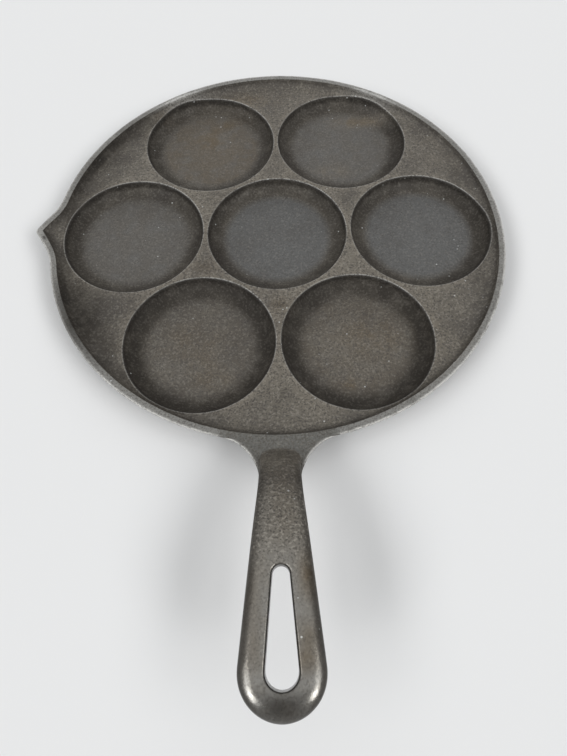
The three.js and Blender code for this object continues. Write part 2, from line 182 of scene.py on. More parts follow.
def soft_max(a, b, width):
    """The larger of two heights, with a hollow fillet where they cross."""
    near = np.clip(1 - np.abs(a - b) / width, 0, 1)
    return np.maximum(a, b) + width * near**2 / 4


def bump_at(value, middle, width):
    return np.exp(-(((value - middle) / width) ** 2))


def bezier(start, control, end, share):
    start, control, end = (np.array(p, float) for p in (start, control, end))
    t = np.asarray(share, float)[:, None]
    return start * (1 - t) ** 2 + 2 * control * t * (1 - t) + end * t**2


def quarter_round(distance, radius):
    """How far a rounded edge falls below its face, at a distance in from the edge."""
    left = np.clip(radius - distance, 0, radius)
    return radius - np.sqrt(radius**2 - left**2)


def halve(high, is_inside):
    """Where a test stops holding between zero and high values, by halving."""
    low = np.zeros_like(high)
    for _ in range(HALVINGS):
        middle = (low + high) / 2
        inside = is_inside(middle)
        low, high = np.where(inside, middle, low), np.where(inside, high, middle)
    return (low + high) / 2


# Rim's plan: a circle with the beak. "Along" runs down the beak's axis, "aside" across it.

tip_centre = RIM_RADIUS + SPOUT_REACH - SPOUT_TIP_RADIUS
flank_normal = np.array([math.sin(SPOUT_FLANK_ANGLE), math.cos(SPOUT_FLANK_ANGLE)])
flank_way = np.array([math.cos(SPOUT_FLANK_ANGLE), -math.sin(SPOUT_FLANK_ANGLE)])
flank_offset = tip_centre * flank_normal[0] + SPOUT_TIP_RADIUS
blend_distance = RIM_RADIUS + SPOUT_BLEND_RADIUS
blend_angle = math.asin((flank_offset + SPOUT_BLEND_RADIUS) / blend_distance) - SPOUT_FLANK_ANGLE
blend_centre = blend_distance * np.array([math.cos(blend_angle), math.sin(blend_angle)])
beak_half_angle = blend_angle + SPOUT_MARGIN


def rim_inset(x, y):
    """Distance of plan points inwards from the rim's outer edge."""
    along = -x
    lean = SPOUT_LEAN * smoothstep(RIM_RADIUS - SPOUT_REACH / 2, RIM_RADIUS + SPOUT_REACH / 2, along)
    aside = np.abs(y - lean)
    plain = RIM_RADIUS - np.hypot(along, aside)
    blend = np.hypot(along - blend_centre[0], aside - blend_centre[1]) - SPOUT_BLEND_RADIUS
    flank = flank_offset - along * flank_normal[0] - aside * flank_normal[1]
    tip = SPOUT_TIP_RADIUS - np.hypot(along - tip_centre, aside)
    past_blend = (along - blend_centre[0]) * flank_way[0] + (aside - blend_centre[1]) * flank_way[1]
    past_flank = (along - tip_centre) * flank_way[0] + aside * flank_way[1]
    beak = np.where(past_blend > 0, np.where(past_flank > 0, tip, flank), blend)
    return np.where(np.arctan2(aside, along) >= blend_angle, plain, beak)


def outline_radius(angles, inset):
    """Radius at which the rim's inset is reached, at angles from the beak's axis."""
    high = np.full_like(angles, RIM_RADIUS + SPOUT_REACH + SPOUT_TIP_RADIUS)
    return halve(high, lambda r: rim_inset(-r * np.cos(angles), -r * np.sin(angles)) > inset)


def beak_angles():
    """Angles across the beak's sector, from its axis, close together near the tip."""
    half = beak_half_angle * np.linspace(0, 1, BEAK_STEPS + 1) ** BEAK_CROWDING
    return np.concatenate([-half[:0:-1], half])


def rim_angles():
    return np.linspace(beak_half_angle, 2 * math.pi - beak_half_angle, RIM_STEPS + 1)


def plate_height(x, y):
    """Top of the plate, the cove and the rim over plan points, without the cups."""
    inset = rim_inset(x, y)
    run = np.clip(COVE_FOOT - inset, 0, COVE_RUN)
    cove = RIM_COVE_RADIUS - np.sqrt(RIM_COVE_RADIUS**2 - run**2)
    return LIP_HEIGHT + cove - quarter_round(inset, RIM_EDGE_ROUND)


wall_way = np.array([-RIM_UNDERCUT, WALL_HEIGHT]) / math.hypot(RIM_UNDERCUT, WALL_HEIGHT)
foot_corner = np.array([RIM_UNDERCUT, UNDERSIDE_HEIGHT])
foot_curve = bezier(
    foot_corner + RIM_FOOT_ROUND * wall_way,
    foot_corner,
    foot_corner + [RIM_FOOT_ROUND, 0],
    np.linspace(0, 1, FOOT_STEPS + 1),
)


def underside_height(inset):
    return np.interp(inset, foot_curve[:, 0], foot_curve[:, 1])


gusset_centre = np.array([HANDLE_ROOT_HALF_WIDTH + GUSSET_RADIUS, 0.0])
gusset_centre[1] = -math.sqrt((RIM_RADIUS + GUSSET_RADIUS) ** 2 - gusset_centre[0] ** 2)
gusset_angle = math.asin(gusset_centre[0] / (RIM_RADIUS + GUSSET_RADIUS))
gusset_tangent = -gusset_centre[1] - RIM_RADIUS  # reach at which its arcs run into the bar

# Meshes.

WAVES = [  # length in mm, heading, phase: the slight unevenness of a hand-poured casting
    (31.0, 0.4, 0.9),
    (23.0, 1.9, 2.2),
    (17.0, 2.7, 4.1),
    (12.0, 1.1, 5.3),
]
WAVE_HEIGHT = 0.03


def uneven(points):
    """Points lifted and lowered a little by long waves, which fade out at the flat underside."""
    lift = np.zeros(len(points))
    for length, heading, phase in WAVES:
        way = points[:, 0] * math.cos(heading) + points[:, 1] * math.sin(heading)
        across = points[:, 1] * math.cos(heading) - points[:, 0] * math.sin(heading)
        lift += np.sin(2 * math.pi * way / length + phase) * np.cos(across / length + phase)
    moved = points.copy()
    moved[:, 2] += WAVE_HEIGHT * lift * np.clip(points[:, 2] / CUP_FLOOR_THICKNESS, 0, 1)
    return moved


def face_outwards(mesh):
    work = bmesh.new()
    work.from_mesh(mesh)
    bmesh.ops.recalc_face_normals(work, faces=work.faces)
    work.to_mesh(mesh)
    work.free()


def add_piece(node, points, faces, masks, where=1.0):
    """A closed mesh that stands for one CAD node, with a float attribute for each mask where it holds."""
    mesh = bpy.data.meshes.new(node + "_cast")
    mesh.from_pydata((uneven(points) * MM).tolist(), [], faces)
    face_outwards(mesh)
    mesh.polygons.foreach_set("use_smooth", [True] * len(mesh.polygons))
    mesh.set_sharp_from_angle(angle=SHARP_ANGLE)
    for name in MASKS:
        values = np.broadcast_to(masks.get(name, 0.0) * where, len(points)).astype(np.float32)
        mesh.attributes.new(name, "FLOAT", "POINT").data.foreach_set("value", values)
    mesh.materials.append(iron)
    piece = bpy.data.objects.new(node + "_cast", mesh)
    bpy.context.collection.objects.link(piece)
    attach(piece, "root")
    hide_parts(node)


def ring_faces(first, second):
    """Quads between two closed rings of vertex indices."""
    return np.stack([first, np.roll(first, 1), np.roll(second, 1), second], -1).tolist()


def tube_faces(index):
    """Quads between the closed rings of vertex indices that are the rows of a table."""
    return [face for k in range(len(index) - 1) for face in ring_faces(index[k], index[k + 1])]


def fan_faces(ring, pole):
    return [(int(ring[i]), int(ring[i - 1]), pole) for i in range(len(ring))]


def node_centre(node):
    """Middle of a CAD node's box in plan, in millimetres."""
    low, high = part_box(node)
    return np.array(((low + high) / 2 / MM).xy)


def cup_gap(plan, centres):
    """Distance of plan points from the nearest cup's region."""
    return np.min([np.hypot(*(plan - centre).T) for centre in centres], axis=0) - CUP_REGION_RADIUS


# Masks. Soot and painted shade share one mask, rubbed metal and painted highlights share another, and pale
# is a light film. Lengths are in millimetres.

LIP_WEAR = 0.2
# A painted highlight on the cups' lips, strongest at the far right.
LIP_HIGHLIGHT = 0.4  # at the angle below
LIP_HIGHLIGHT_ANGLE = math.radians(62)
LIP_WEAR_AND_HIGHLIGHT_BAND = (CUP_LIP_RADIUS + CUP_LIP_ROUND / 3, CUP_LIP_ROUND * 0.8)  # bands: middle, width
# Painted highlights in the rim's hollow behind the two rear cups, where their far lips come near it.
COVE_HIGHLIGHT = 0.85
COVE_HIGHLIGHT_ANGLES = [math.radians(59), math.radians(120)]
COVE_HIGHLIGHT_SPAN = math.radians(7)
COVE_HIGHLIGHT_BANDS = [  # inset, width and strength: the cove's upper corner, and the hollow under it
    (RIM_TOP_WIDTH - 1.0, 1.05, 1.5),
    (RIM_TOP_WIDTH + 2.5, 2.0, 0.3),
]
COVE_SOOT = [(math.radians(152), math.radians(22)), (math.radians(202), math.radians(13))]
COVE_SOOT_START = (-1.5, 3.0)  # up the cove's run
# Painted shade all round the crease under the rim's top, mixed with soot.
THIN_COVE_SOOT_AND_SHADE = 0.5
THIN_COVE_SOOT_AND_SHADE_START = (1.5, 5.0)
# A cup's wall: soot with painted shade over it, the painted shade darkest just under the lip.
WALL_SOOT_AND_SHADE = 0.6
WALL_SHADE_SIDES = 0.15  # more painted shade to the left and right
WALL_SOOT_AND_SHADE_INWARDS = 4.5  # from the floor's edge
WALL_SOOT_SPREAD = 16  # further inwards in the sootier cups
WALL_SOOT_AND_SHADE_OUTWARDS = 3.5
LIP_SHADE_DEPTH = 3.0
LIP_SHADE_FAR_SIDE = 1.5  # deeper there
LIP_SHADE_FULL = 0.8  # in from the lip
LIP_SHADE_END = (-0.15, 0.2)
# A cup's floor darker towards its wall, most on the far side.
FLOOR_DARKENING = 0.08
FLOOR_DARKENING_FAR_SIDE = 0.16  # more of it there
FLOOR_BLEND = 2  # to both sides of the floor's edge
FLOOR_COARSENING = 3.5  # of the floors of the sootier cups
PALE_INSET = (7, 16)
PALE_FADE = 3.5  # away from the cups
PALE_COVE_END = (0.5, 4.5)  # up the cove's run
BORDER_SOOT = 0.6
BORDER_SOOT_INSET = (6, 24)
BORDER_SOOT_X = (20, -100)  # thicker towards the beak
BAND_WEAR = 0.2
BAND_WEAR_FAR = 0.06
BEAK_WEAR = 0.2
BAND_BLEND = 0.1
EDGE_WEAR_BAND = (RIM_EDGE_ROUND * 0.6, RIM_EDGE_ROUND * 1.2)
GUSSET_CLEARANCE = (0.9 * gusset_angle, 1.1 * gusset_angle)
GUSSET_WEAR_BAND = (0.3, 0.5)
GUSSET_BLEND = 0.4
# Painted shade on the slot's rounded edge.
SLOT_SHADE = 0.7
SLOT_SHADE_BAND = (0.1, 0.5)
# Soot and painted shade along the bar's rounded sides.
BAR_SOOT_AND_SHADE = 0.7
BAR_SOOT_AND_SHADE_INSET = (0.5, 4.5)
RUST_SPOTS = [  # brown stains that the photograph shows, in the cups, on the plate and on the grip
    (-39, 74, 18, 16, 1.0),
    (-28, 88, 12, 6, 0.6),
    (48, 86.5, 17, 4.5, 0.8),
    (22, 48, 8, 5, 0.3),
    (-42, -64, 22, 17, 0.6),
    (-30, -84, 14, 8, 0.5),
    (46, -62, 24, 17, 0.7),
    (33, -88, 5, 4, 0.9),
    (-80, -2, 20, 20, 0.2),
    (-16, 101, 14, 5, 0.7),
    (-69.5, 90, 7, 5, 1.0),
    (1, -46, 5, 4, 0.6),
    (-38, -23, 5, 4, 0.5),
    (-10, -178, 4, 13, 0.45),
    (-9, -196, 3, 8, 0.4),
    (10, -174, 4, 9, 0.9),
    (9, -193, 4, 5, 0.6),
    (8, -200, 4, 4, 0.7),
    (2, -150, 7, 18, 0.4),
]
CUP_STAINS = {  # brown film over whole cup floors
    "cup_rear_left": 0.7,
    "cup_rear_right": 0.3,
    "cup_left": 0.3,
    "cup_front_left": 0.3,
    "cup_front_right": 0.4,
}
CUP_SOOT = {  # more soot, and coarser floors, in the front cups
    "cup_front_left": 0.17,
    "cup_front_right": 0.18,
}
CUP_SMEARS = [  # lighter smears in the rear right cup
    (50, 86.5, 17, 4.6, 1.2),
    (32, 46.5, 9, 4.5, 0.8),
]
PLATE_SMEARS = [  # lighter smears on the plate, behind and beside the rear cups
    (18, 99, 24, 8, 0.8),
    (90, 52, 14, 20, 0.5),
    (-69.5, 90, 6, 5, 0.9),
]
DIRT_AND_REFLECTION_SPOTS = [  # black patches: beside the rim, on the webs and in the beak's flank, and round the tip patina with a painted dark reflection
    (-95, -53, 12, 17, 1.0),
    (-82, -70, 9, 9, 0.5),
    (-101, 38, 9, 18, 0.45),
    (-82, 74, 12, 12, 0.35),
    (100, 40, 6, 24, 0.3),
    (102, -30, 5, 20, 0.35),
    (-19.3, -105.3, 1.2, 1.0, 0.8),
    (3, -93, 3, 2, 0.5),
    (-38, -23, 3, 2, 0.35),
    (1, -46, 3, 2, 0.35),
    (-122.2, -3.4, 0.75, 0.75, 1.0),
    (-121.3, -4.5, 0.75, 0.75, 1.0),
    (-104, -36, 8, 12, 0.6),
    # Patina round the tip, with a painted dark reflection.
    (0, -213, 9, 5, 0.8),
]


def spots_at(points, spots):
    """Soft spots over plan points, each given by its place, its reach along X and Y, and its strength."""
    total = np.zeros(len(points))
    for x, y, reach_x, reach_y, strength in spots:
        total += strength * bump_at(points[:, 0], x, reach_x) * bump_at(points[:, 1], y, reach_y)
    return np.clip(total, 0, 1)


def plan_angle(points):
    return np.arctan2(points[:, 1], points[:, 0])


def cove_highlight(points):
    """Painted highlights on stretches of the rim's hollow behind the two rear cups."""
    angle = plan_angle(points)
    stretch = sum(bump_at(angle, middle, COVE_HIGHLIGHT_SPAN) for middle in COVE_HIGHLIGHT_ANGLES)
    inset = rim_inset(*points.T[:2])
    across = sum(strength * bump_at(inset, middle, width) for middle, width, strength in COVE_HIGHLIGHT_BANDS)
    return np.clip(stretch * across, 0, 1)


def cove_soot_and_shade(points):
    """Painted shade and soot in the rim's hollow: thin all round, but thick soot on both sides of the
    pouring lip.
    """
    angle = plan_angle(points) % (2 * math.pi)
    thick = sum(bump_at(angle, middle, span) for middle, span in COVE_SOOT)
    run = COVE_FOOT - rim_inset(*points.T[:2])
    thin = THIN_COVE_SOOT_AND_SHADE * smoothstep(*THIN_COVE_SOOT_AND_SHADE_START, run)
    return thin + (1 - thin) * thick * smoothstep(*COVE_SOOT_START, run)


def wall_soot_and_shade(radius, angle, more):
    """Soot and painted shade on a cup's wall: thin at the floor's edge, and painted shade thick under the
    lip, deepest on the far side.
    """
    thin = WALL_SOOT_AND_SHADE + WALL_SHADE_SIDES * np.abs(np.cos(angle)) + more
    depth = LIP_SHADE_DEPTH + LIP_SHADE_FAR_SIDE * np.clip(np.sin(angle), 0, 1)
    start = CUP_FLOOR_RADIUS - WALL_SOOT_AND_SHADE_INWARDS - WALL_SOOT_SPREAD * more
    base = thin * smoothstep(start, CUP_FLOOR_RADIUS + WALL_SOOT_AND_SHADE_OUTWARDS, radius)
    past_lip = radius - CUP_LIP_RADIUS
    top = smoothstep(-depth, -LIP_SHADE_FULL, past_lip)
    return np.maximum(base, top) * (1 - smoothstep(*LIP_SHADE_END, past_lip))


def floor_darkening(radius, angle):
    """Darkening over a cup's floor towards its wall, mostly from the far side."""
    side = FLOOR_DARKENING + FLOOR_DARKENING_FAR_SIDE * (1 + np.sin(angle)) / 2
    return side * smoothstep(CUP_FLOOR_RADIUS / 4, CUP_FLOOR_RADIUS, radius)


def lip_wear_and_highlight(radius, angle):
    """Bare metal on a cup's lip, with a painted highlight on it at the far right."""
    side = LIP_WEAR + LIP_HIGHLIGHT * np.clip(np.cos(angle - LIP_HIGHLIGHT_ANGLE), 0, 1) ** 2
    return side * bump_at(radius, *LIP_WEAR_AND_HIGHLIGHT_BAND)


# Cups: rings from the floor out over the lip, and back underneath to the foot.


def cup_profile():
    """Radius, and height as a share of the depth, from near the middle of the floor out to the lip."""
    corner = CUP_LIP_RADIUS - CUP_LIP_ROUND
    run = corner - CUP_FLOOR_RADIUS
    rise = CUP_DEPTH - CUP_LIP_ROUND
    bend = (run**2 + rise**2) / (2 * rise)
    sweep = math.asin(run / bend)
    floor = [(CUP_FLOOR_RADIUS * k / CUP_FLOOR_RINGS, 0) for k in range(1, CUP_FLOOR_RINGS + 1)]
    turns = sweep * np.linspace(0, 1, CUP_COVE_RINGS + 1)[1:]
    cove = [(CUP_FLOOR_RADIUS + bend * math.sin(a), bend * (1 - math.cos(a))) for a in turns]
    lip = bezier(
        (corner, rise),
        (corner + CUP_LIP_ROUND / math.tan(sweep), CUP_DEPTH),
        (CUP_LIP_RADIUS, CUP_DEPTH),
        np.linspace(0, 1, CUP_LIP_RINGS + 1)[1:],
    )
    profile = np.array([*floor, *cove, *lip.tolist()])
    profile[:, 1] /= CUP_DEPTH
    return profile


def cup_underside():
    """Radius and height of the boss under a cup, from the plate in to the flat foot."""
    shoulder = CUP_FLOOR_RADIUS + (CUP_LIP_RADIUS - CUP_FLOOR_RADIUS) / 2 + CUP_WALL
    side = bezier(
        (shoulder, UNDERSIDE_HEIGHT),
        (shoulder - CUP_WALL / 2, 0),
        (CUP_FOOT_RADIUS, 0),
        np.linspace(0, 1, CUP_SIDE_RINGS + 1),
    )
    foot = [(CUP_FOOT_RADIUS * k / CUP_FOOT_RINGS, 0) for k in range(CUP_FOOT_RINGS - 1, 0, -1)]
    return [*side.tolist(), *foot]


def cup_circle(centre, radius):
    turn = 2 * math.pi * np.arange(CUP_STEPS) / CUP_STEPS
    return centre[0] + radius * np.cos(turn), centre[1] + radius * np.sin(turn)


def cup_rings(centre):
    """Radius and height of the rings on a cup's top side, and of those on its underside."""
    rise = plate_height(*cup_circle(centre, CUP_LIP_RADIUS)) - CUP_FLOOR_THICKNESS
    top = [(radius, CUP_FLOOR_THICKNESS + share * rise) for radius, share in cup_profile()]
    for radius in np.linspace(CUP_LIP_RADIUS, CUP_REGION_RADIUS, CUP_LAND_RINGS + 1)[1:]:
        top.append((radius, plate_height(*cup_circle(centre, radius))))
    edge = underside_height(rim_inset(*cup_circle(centre, CUP_REGION_RADIUS)))
    return top, [(CUP_REGION_RADIUS, edge), *cup_underside()]


def cup_masks(node, centre, points, radii):
    around = plan_angle(points[:, :2] - centre)
    past_lip = radii > CUP_LIP_RADIUS
    on_floor = 1 - smoothstep(-FLOOR_BLEND, FLOOR_BLEND, radii - CUP_FLOOR_RADIUS)
    shine = past_lip * cove_highlight(points)
    smear = spots_at(points, CUP_SMEARS)
    more = CUP_SOOT.get(node, 0)
    soot_and_shade = np.maximum(wall_soot_and_shade(radii, around, more), on_floor * floor_darkening(radii, around))
    rim_soot_and_shade = past_lip * cove_soot_and_shade(points) * (1 - shine)
    film = past_lip * smoothstep(*PALE_INSET, rim_inset(*points.T[:2]))
    return {
        "floor": on_floor * (1 - FLOOR_COARSENING * more),
        "grime_and_shade": np.maximum(soot_and_shade * (1 - smear), rim_soot_and_shade),
        "wear_and_highlight": np.maximum(lip_wear_and_highlight(radii, around), COVE_HIGHLIGHT * shine),
        "pale": np.maximum(film, smear),
        "rust": np.maximum(spots_at(points, RUST_SPOTS), CUP_STAINS.get(node, 0) * on_floor),
    }


def add_cup(node, centre):
    top, below = cup_rings(centre)
    rings = top + below
    points, radii = [], []
    for radius, height in rings:
        points.append(np.column_stack([*cup_circle(centre, radius), np.broadcast_to(height, CUP_STEPS)]))
        radii.append(np.full(CUP_STEPS, radius))
    points = np.concatenate([*points, [[*centre, CUP_FLOOR_THICKNESS], [*centre, 0]]])
    radii = np.concatenate([*radii, np.zeros(2)])
    floor_pole, foot_pole = len(points) - 2, len(points) - 1
    index = np.arange(len(rings) * CUP_STEPS).reshape(len(rings), CUP_STEPS)
    faces = tube_faces(index) + fan_faces(index[0], floor_pole) + fan_faces(index[-1], foot_pole)
    is_top = np.arange(len(points)) < len(top) * CUP_STEPS
    is_top[floor_pole] = True
    add_piece(node, points, faces, cup_masks(node, centre, points, radii), is_top)


# Plate: one triangulated plan for its top and its underside.


def plate_points(centres):
    """Plan points of the plate: its round edge, the cups' edges, and points between them."""
    angles = np.concatenate([beak_angles(), rim_angles()[1:-1]])
    loops = [PLATE_REGION_RADIUS * np.column_stack([-np.cos(angles), -np.sin(angles)])]
    loops += [np.column_stack(cup_circle(centre, CUP_REGION_RADIUS)) for centre in centres]
    steps = np.arange(-RIM_RADIUS, RIM_RADIUS, GRID)
    grid = np.stack(np.meshgrid(steps, steps), -1)
    grid[1::2, :, 0] += GRID / 2
    inner = grid.reshape(-1, 2)
    inner = inner[np.hypot(*inner.T) < RIM_RADIUS - RIM_TOP_WIDTH - COVE_RUN - GRID / 2]
    sweep = np.linspace(0, math.asin(COVE_RUN / RIM_COVE_RADIUS), PLATE_COVE_RINGS + 1)
    cove = RIM_RADIUS - RIM_TOP_WIDTH - COVE_RUN + RIM_COVE_RADIUS * np.sin(sweep)
    for radius in cove[cove < PLATE_REGION_RADIUS - LEAST_EDGE_GAP]:
        ring = radius * np.column_stack([np.cos(angles), np.sin(angles)])
        inner = np.concatenate([inner, ring])
    return loops, inner[cup_gap(inner, centres) > LEAST_CUP_GAP]


def loop_edges(loops):
    """Pairs of indices round each closed loop, where the loops' points follow one another."""
    edges = []
    start = 0
    for loop in loops:
        edges += [(start + i, start + (i + 1) % len(loop)) for i in range(len(loop))]
        start += len(loop)
    return edges


def plan_triangles(plan, edges, centres):
    """Triangles between plan points that keep the given edges and leave the cups open."""
    made = delaunay_2d_cdt([Vector(point) for point in plan], edges, [], 0, TINY)
    source = [origin[0] for origin in made[3]]
    sagitta = CUP_REGION_RADIUS * (1 - math.cos(math.pi / CUP_STEPS))
    triangles = []
    for face in made[2]:
        corners = [int(source[i]) for i in face]
        if cup_gap(plan[corners].mean(0)[None], centres)[0] > -sagitta:
            triangles.append(tuple(corners))
    return triangles


def plate_masks(points, centres):
    inset = rim_inset(*points.T[:2])
    near_lip = np.exp(-cup_gap(points[:, :2], centres) / PALE_FADE) * smoothstep(*PALE_INSET, inset)
    border = BORDER_SOOT * (1 - smoothstep(*BORDER_SOOT_INSET, inset)) * (1 - near_lip)
    border *= smoothstep(*BORDER_SOOT_X, points[:, 0])
    dirt_and_shade = np.maximum(cove_soot_and_shade(points), spots_at(points, DIRT_AND_REFLECTION_SPOTS))
    shine = cove_highlight(points)
    film = np.maximum(near_lip, spots_at(points, PLATE_SMEARS))
    return {
        "grime_and_shade": np.maximum(dirt_and_shade, border) * (1 - shine),
        "wear_and_highlight": COVE_HIGHLIGHT * shine,
        "rust": spots_at(points, RUST_SPOTS),
        "pale": film * (1 - smoothstep(*PALE_COVE_END, COVE_FOOT - inset)),
    }


def add_plate(node, centres):
    loops, inner = plate_points(centres)
    plan = np.concatenate([*loops, inner])
    edges = loop_edges(loops)
    triangles = plan_triangles(plan, edges, centres)
    count = len(plan)
    faces = triangles + [tuple(i + count for i in reversed(face)) for face in triangles]
    faces += [(a, b, b + count, a + count) for a, b in edges]
    x, y = plan.T
    top = np.column_stack([x, y, plate_height(x, y)])
    bottom = np.column_stack([x, y, underside_height(rim_inset(x, y))])
    points = np.concatenate([top, bottom])
    is_top = np.arange(len(points)) < count
    add_piece(node, points, faces, plate_masks(points, centres), is_top)


# Rim and beak: loops round the section, one at each angle.


def border_stations(inner, cove_steps):
    """Insets of the points of a loop, from the plate over the rim and back under it, and their sides."""
    wall_foot = foot_curve[0, 0]
    stations = []
    for share in np.sin(np.linspace(0, math.pi / 2, cove_steps)):
        stations.append((inner + (RIM_TOP_WIDTH - inner) * share, "top"))
    for share in BAND_SHARES:
        stations.append((RIM_TOP_WIDTH + (RIM_EDGE_ROUND - RIM_TOP_WIDTH) * share, "top"))
    for turn in np.linspace(0, math.pi / 2, EDGE_STEPS + 1):
        stations.append((RIM_EDGE_ROUND * (1 - math.sin(turn)), "top"))
    for share in np.linspace(0, 1, WALL_STEPS + 1)[1:]:
        stations.append((wall_foot * share, "wall"))
    for share in np.linspace(0, 1, UNDER_STEPS + 1)[1:]:
        stations.append((wall_foot + (inner - wall_foot) * share, "under"))
    return stations


def border_loops(angles, cove_steps):
    """Closed loops round the section: points, and their insets, where the underside counts as far in."""
    inner = rim_inset(-PLATE_REGION_RADIUS * np.cos(angles), -PLATE_REGION_RADIUS * np.sin(angles))
    points, insets = [], []
    for inset, side in border_stations(inner, cove_steps):
        inset = np.broadcast_to(inset, angles.shape)
        radius = outline_radius(angles, inset)
        x, y = -radius * np.cos(angles), -radius * np.sin(angles)
        height = {
            "top": plate_height(x, y),
            "wall": RIM_TOP - RIM_EDGE_ROUND - inset * WALL_HEIGHT / RIM_UNDERCUT,
            "under": underside_height(inset),
        }[side]
        points.append(np.column_stack([x, y, height]))
        insets.append(np.where(side == "under", RIM_RADIUS, inset))
    return np.stack(points, 1), np.stack(insets, 1)


def border_masks(points, insets):
    wall = points[:, 2] < RIM_TOP - RIM_EDGE_ROUND - TINY
    face_up = ~wall | (insets > RIM_TOP_WIDTH)
    clear = smoothstep(*GUSSET_CLEARANCE, np.abs(np.arctan2(points[:, 0], -points[:, 1])))
    voids = spots_at(points, DIRT_AND_REFLECTION_SPOTS)
    dirt_and_shade = np.maximum(cove_soot_and_shade(points) * (insets > RIM_TOP_WIDTH), voids)
    shine = face_up * (insets < RIM_RADIUS) * cove_highlight(points)
    band = face_up * (1 - smoothstep(-BAND_BLEND, BAND_BLEND, insets - RIM_TOP_WIDTH))
    far = (1 + points[:, 1] / RIM_RADIUS) / 2
    beak = smoothstep(RIM_RADIUS, RIM_RADIUS + SPOUT_REACH, -points[:, 0])
    edge_wear = clear * bump_at(insets, *EDGE_WEAR_BAND) * ~wall
    band_wear = clear * band * (BAND_WEAR + BAND_WEAR_FAR * far + BEAK_WEAR * beak)
    return {
        "band": band,
        "grime_and_shade": face_up * dirt_and_shade * (1 - shine),
        "wear_and_highlight": np.max([edge_wear, COVE_HIGHLIGHT * shine, band_wear], axis=0) * (1 - voids),
    }


def add_border(node, angles, cove_steps):
    """A stretch of the rim, closed by a cap at each end."""
    loops, insets = border_loops(angles, cove_steps)
    points = loops.reshape(-1, 3)
    index = np.arange(len(points)).reshape(loops.shape[:2])
    faces = tube_faces(index) + [tuple(index[0].tolist()), tuple(index[-1][::-1].tolist())]
    add_piece(node, points, faces, border_masks(points, insets.ravel()))


# Handle: two sheets, top and underside, that meet at its edge, with the slot between their halves.


def spline(points, share):
    """Points on a uniform Catmull-Rom curve through the given ones, with its direction."""
    points = np.array(points, float)
    last = len(points) - 1
    place = np.clip(share, 0, 1) * last
    k = np.minimum(place.astype(int), last - 1)
    t = (place - k)[:, None]
    a, b = points[np.maximum(k - 1, 0)], points[k]
    c, d = points[k + 1], points[np.minimum(k + 2, last)]
    v0, v1 = (c - a) / 2, (d - b) / 2
    cubic, square = 2 * b - 2 * c + v0 + v1, -3 * b + 3 * c - 2 * v0 - v1
    return cubic * t**3 + square * t**2 + v0 * t + b, 3 * cubic * t**2 + 2 * square * t + v0


def handle_thickness(reach):
    climb = smoothstep(HANDLE_FOOT_REACH, HANDLE_RAMP_REACH, reach)
    past = np.clip((reach - GRIP_REACH) / GRIP_RADIUS, 0, 1)
    full = HANDLE_ROOT_THICKNESS + (GRIP_THICKNESS - HANDLE_ROOT_THICKNESS) * climb
    return full * (1 - past**SECTION_CROWN) ** (1 / SECTION_CROWN)


def handle_half_width(reach):
    past = reach - GRIP_REACH
    side = GRIP_RADIUS / math.cos(GRIP_TAPER) + past * math.tan(GRIP_TAPER)
    root = HANDLE_ROOT_HALF_WIDTH
    straight = (root + side + np.hypot(root - side, HANDLE_WAIST_BLEND)) / 2
    end = np.sqrt(np.clip(GRIP_RADIUS**2 - past**2, 0, None))
    return np.where(past > -GRIP_RADIUS * math.sin(GRIP_TAPER), end, straight)


def handle_lines(reach):
    """Heights of the bar's mid-line, crown and belly over reaches."""
    middle, way = spline(HANDLE_PATH, np.linspace(0, 1, PATH_STEPS + 1))
    way /= np.linalg.norm(way, axis=1)[:, None]
    half = handle_thickness(middle[:, 0])[:, None] / 2
    out = np.column_stack([-way[:, 1], way[:, 0]]) * half
    crown, belly = middle + out, middle - out
    return [np.interp(reach, line[:, 0], line[:, 1]) for line in (middle, crown, belly)]


def bow(reach, x):
    """How far a row of the handle bends back towards the pan: with the rim at the root, then straight."""
    bend = (1 - smoothstep(0, HANDLE_RAMP_REACH, reach)) / (RIM_RADIUS + reach)
    bend = np.maximum(bend, NO_LENGTH)
    return (1 - np.sqrt(1 - (bend * x) ** 2)) / bend


def row_y(reach, x):
    return -(RIM_RADIUS + reach) + bow(reach, x)


def gusset_distance(reach, x):
    """Distance of plan points from the gusset's hollow arc, on their side."""
    y = row_y(reach, x)
    return np.hypot(np.abs(x) - gusset_centre[0], y - gusset_centre[1]) - GUSSET_RADIUS


def half_outline(reach):
    """Half-width of the gusset and the bar together, row by row."""
    high = np.full_like(reach, RIM_RADIUS * math.sin(gusset_angle))
    wing = halve(high, lambda x: gusset_distance(reach, x) > 0)
    bar = handle_half_width(reach)
    flare = np.where(reach < gusset_tangent, np.maximum(wing, bar), bar)
    return np.where(reach < 0, (RIM_RADIUS + reach) * math.sin(gusset_angle), flare)


def edge_distance(reach, x):
    """Distance of plan points in from the edge of the gusset or the bar."""
    outline = half_outline(reach)
    flared = (reach < gusset_tangent) & (outline > handle_half_width(reach))
    return np.where(flared, np.clip(gusset_distance(reach, x), 0, None), outline - np.abs(x))


def slot_distance(reach, x):
    """Distance of plan points from the slot's edge: a drop shape of two circles and their tangents."""
    length = GRIP_REACH - SLOT_INNER_REACH
    lean = (SLOT_OUTER_RADIUS - SLOT_INNER_RADIUS) / length
    run = math.sqrt(1 - lean**2)
    aside, along = np.abs(x), GRIP_REACH - reach
    place = run * along - lean * aside
    outer = np.hypot(aside, along) - SLOT_OUTER_RADIUS
    inner = np.hypot(aside, along - length) - SLOT_INNER_RADIUS
    side = run * aside + lean * along - SLOT_OUTER_RADIUS
    return np.where(place < 0, outer, np.where(place > run * length, inner, side))


